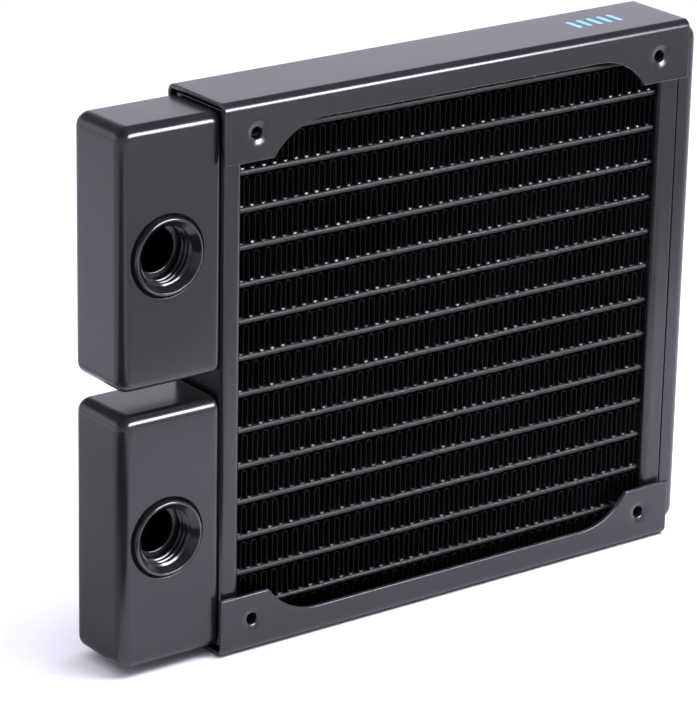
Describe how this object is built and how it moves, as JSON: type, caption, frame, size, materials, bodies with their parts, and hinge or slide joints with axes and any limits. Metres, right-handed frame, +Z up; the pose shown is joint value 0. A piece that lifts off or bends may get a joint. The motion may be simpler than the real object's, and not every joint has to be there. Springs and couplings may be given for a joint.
{
  "type": "liquid cooling radiator",
  "caption": "Slim black single-fan liquid cooling radiator with folded fin core, side channels with fan screw holes, twin threaded port tanks and a return tank.",
  "frame": {"origin": "middle of the whole radiator's plan outline, on the face of the lower side channel that it stands on", "axes": "+X along the core from the port tanks to the return tank, +Y from the port side face to the far fan face, +Z up from the lower to the upper side channel"},
  "size_m": [0.149, 0.0204, 0.119],
  "materials": {
    "black_paint": "semi-gloss black powder-like paint with soft bluish reflections",
    "bushing_paint": "glossier black paint over a turned brass bushing",
    "core_paint": "thin satin black paint over soldered tubes and fins",
    "mark_print": null
  },
  "bodies": {
    "root": {"upper_side_channel": "black_paint", "lower_side_channel": "black_paint", "upper_port_tank": "black_paint", "lower_port_tank": "black_paint", "return_tank": "black_paint", "port_side_header_plate": "black_paint", "return_side_header_plate": "black_paint", "upper_port_bushing": "bushing_paint", "lower_port_bushing": "bushing_paint", "flat_tube_01": "core_paint", "flat_tube_02": "core_paint", "flat_tube_03": "core_paint", "flat_tube_04": "core_paint", "flat_tube_05": "core_paint", "flat_tube_06": "core_paint", "flat_tube_07": "core_paint", "flat_tube_08": "core_paint", "flat_tube_09": "core_paint", "flat_tube_10": "core_paint", "flat_tube_11": "core_paint", "flat_tube_12": "core_paint", "flat_tube_13": "core_paint", "flat_tube_14": "core_paint", "fin_strip_01": "core_paint", "fin_strip_02": "core_paint", "fin_strip_03": "core_paint", "fin_strip_04": "core_paint", "fin_strip_05": "core_paint", "fin_strip_06": "core_paint", "fin_strip_07": "core_paint", "fin_strip_08": "core_paint", "fin_strip_09": "core_paint", "fin_strip_10": "core_paint", "fin_strip_11": "core_paint", "fin_strip_12": "core_paint", "fin_strip_13": "core_paint", "fin_strip_14": "core_paint", "fin_strip_15": "core_paint"}
  },
  "joints": []
}
